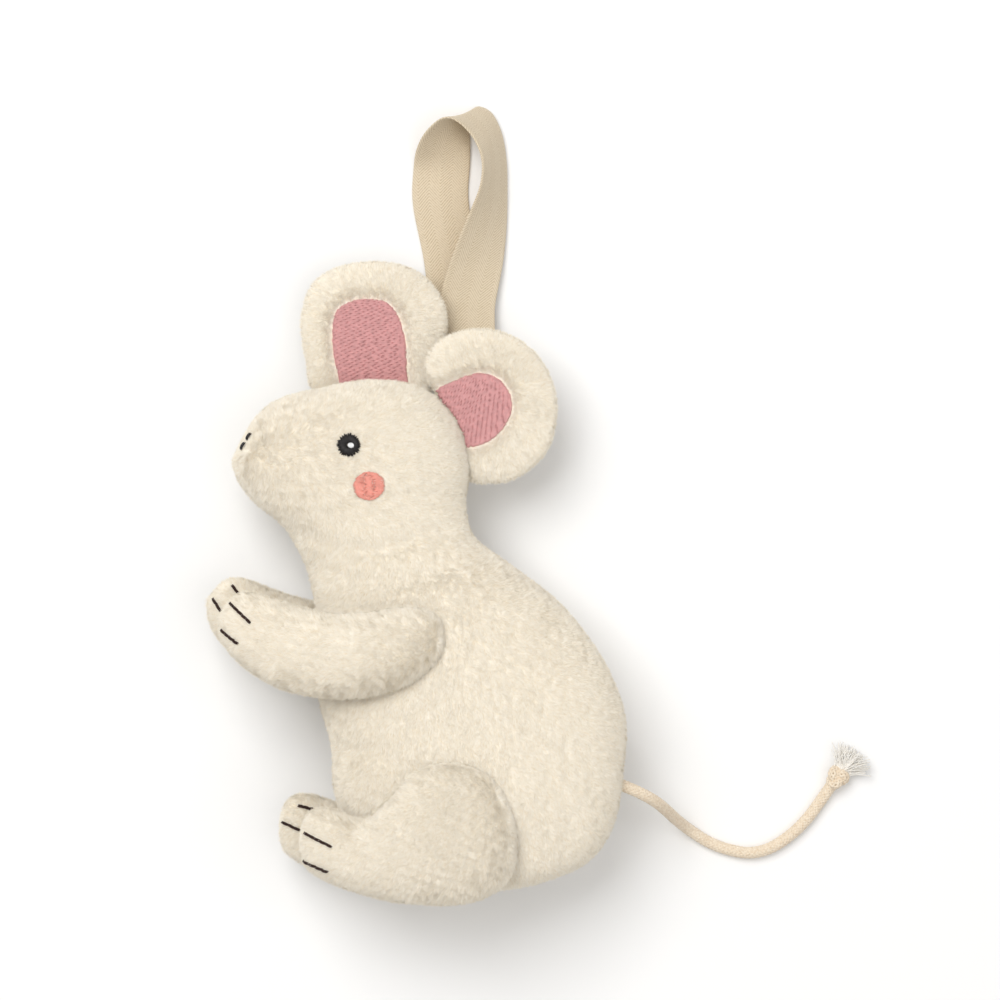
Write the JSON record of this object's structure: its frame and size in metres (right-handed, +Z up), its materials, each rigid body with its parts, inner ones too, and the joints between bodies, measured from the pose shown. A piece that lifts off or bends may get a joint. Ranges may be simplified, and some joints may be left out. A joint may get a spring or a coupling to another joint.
{
  "type": "clockwork mouse",
  "caption": "Cream plush mouse lying on its side: hanging tape, stitched face, and a pull-cord tail that winds a musical movement.",
  "frame": {"origin": "on the surface the toy lies on, under the middle of its outline without the tail", "axes": "+X from the nose side to the back, +Y from the seat to the ears and the hanging loop, +Z up from the surface towards the left side of the toy"},
  "size_m": [0.2243, 0.2667, 0.0687],
  "materials": {
    "plush": "short cream pile cloth",
    "ear_thread": "dusty pink embroidery",
    "cheek_thread": "salmon embroidery",
    "black_thread": "black embroidery",
    "white_thread": "white thread",
    "brown_thread": "dark brown thread",
    "stuffing": "loose polyester fibre",
    "tape": "unbleached cotton herringbone tape",
    "cord": "unbleached cotton braid",
    "case_plastic": "off-white moulded plastic",
    "brass": "plain turned and stamped brass",
    "steel": "plain steel",
    "nylon": "white nylon"
  },
  "bodies": {
    "mouse": {"arm_left_tack": "white_thread", "arm_right_tack": "white_thread", "bedplate": "brass", "body_left_panel": "plush", "body_right_panel": "plush", "body_stuffing": "stuffing", "case_back": "case_plastic", "case_front": "case_plastic", "case_screw_1": "steel", "case_screw_2": "steel", "cheek_left": "cheek_thread", "cheek_right": "cheek_thread", "comb": "steel", "comb_screw_1": "steel", "comb_screw_2": "steel", "cord_eyelet": "brass", "eye_glint_left": "white_thread", "eye_glint_right": "white_thread", "eye_left": "black_thread", "eye_right": "black_thread", "governor_bracket": "brass", "leg_left_tack": "white_thread", "leg_right_tack": "white_thread", "mainspring": "steel", "nose_stitch_1": "black_thread", "nose_stitch_2": "black_thread", "spring_barrel": "steel"},
    "left_arm": {"arm_left": "plush", "arm_left_toe_1": "brown_thread", "arm_left_toe_2": "brown_thread"},
    "right_arm": {"arm_right": "plush", "arm_right_toe_1": "brown_thread", "arm_right_toe_2": "brown_thread"},
    "left_leg": {"leg_left": "plush", "leg_left_toe_1": "brown_thread", "leg_left_toe_2": "brown_thread"},
    "right_leg": {"leg_right": "plush", "leg_right_toe_1": "brown_thread", "leg_right_toe_2": "brown_thread"},
    "left_ear": {"ear_left_front": "plush", "ear_left_back": "plush", "ear_left_inner": "ear_thread"},
    "right_ear": {"ear_right_front": "plush", "ear_right_back": "plush", "ear_right_inner": "ear_thread"},
    "loop": {"hang_loop": "tape"},
    "tail": {"tail_cord": "cord", "tail_knot": "cord", "tail_fray": "cord", "draw_cord": "cord"},
    "drum": {"cord_drum": "nylon"},
    "great_wheel": {"great_wheel": "brass"},
    "click": {"click": "steel"},
    "cylinder": {"pin_cylinder": "brass", "cylinder_wheel": "brass", "train_wheel": "brass"},
    "idler": {"idler_wheel": "brass"},
    "fly": {"fly_worm": "steel", "fly_fan": "nylon"}
  },
  "joints": [
    {"name": "left_arm_swing", "type": "hinge", "parent": "mouse", "child": "left_arm", "pos_m": [-0.0012, -0.0493, 0.06], "axis": [0, 0, 1], "range_deg": [-14, 14]},
    {"name": "right_arm_swing", "type": "hinge", "parent": "mouse", "child": "right_arm", "pos_m": [-0.0072, -0.0483, 0.008], "axis": [0, 0, 1], "range_deg": [-14, 14]},
    {"name": "left_leg_swing", "type": "hinge", "parent": "mouse", "child": "left_leg", "pos_m": [0.0128, -0.1113, 0.06], "axis": [0, 0, 1], "range_deg": [-12, 12]},
    {"name": "right_leg_swing", "type": "hinge", "parent": "mouse", "child": "right_leg", "pos_m": [0.0048, -0.1093, 0.008], "axis": [0, 0, 1], "range_deg": [-12, 12]},
    {"name": "left_ear_bend", "type": "hinge", "parent": "mouse", "child": "left_ear", "pos_m": [0.0153, 0.0237, 0.028], "axis": [0.3102, -0.9507, 0], "range_deg": [-8, 8], "stiffness_Nm_per_rad": 0.05},
    {"name": "right_ear_bend", "type": "hinge", "parent": "mouse", "child": "right_ear", "pos_m": [-0.0132, 0.0397, 0.014], "axis": [1, 0, 0], "range_deg": [-8, 8], "stiffness_Nm_per_rad": 0.05},
    {"name": "loop_swing", "type": "hinge", "parent": "mouse", "child": "loop", "pos_m": [0.0188, 0.0327, 0.017], "axis": [1, 0, 0], "range_deg": [-45, 0]},
    {"name": "tail_pull", "type": "slide", "parent": "mouse", "child": "tail", "axis": [0.9397, -0.342, 0], "range_m": [0, 0.3]},
    {"name": "cord_drum_turn", "type": "hinge", "parent": "mouse", "child": "drum", "pos_m": [0.02826, -0.08038, 0.0282], "axis": [0.342, 0.9397, 0], "range_deg": [0, 2970]},
    {"name": "cylinder_turn", "type": "hinge", "parent": "mouse", "child": "cylinder", "pos_m": [0.01322, -0.07491, 0.0282], "axis": [0.342, 0.9397, 0], "continuous": true},
    {"name": "great_wheel_turn", "type": "hinge", "parent": "mouse", "child": "great_wheel", "pos_m": [0.02826, -0.08038, 0.0282], "axis": [0.342, 0.9397, 0], "continuous": true},
    {"name": "click_lift", "type": "hinge", "parent": "great_wheel", "child": "click", "pos_m": [0.03018, -0.06575, 0.0332], "axis": [0.342, 0.9397, 0], "range_deg": [0, 6]},
    {"name": "idler_turn", "type": "hinge", "parent": "mouse", "child": "idler", "pos_m": [0.02356, -0.07867, 0.0282], "axis": [0.342, 0.9397, 0], "continuous": true},
    {"name": "fly_turn", "type": "hinge", "parent": "mouse", "child": "fly", "pos_m": [0.02667, -0.08853, 0.029], "axis": [0, 0, 1], "continuous": true}
  ],
  "couplings": [
    {"joint": "cord_drum_turn", "follows": "tail_pull", "rad_per_m": 172.4},
    {"joint": "great_wheel_turn", "follows": "cylinder_turn", "ratio": -0.85714},
    {"joint": "idler_turn", "follows": "cylinder_turn", "ratio": -3},
    {"joint": "fly_turn", "follows": "cylinder_turn", "ratio": 48}
  ]
}
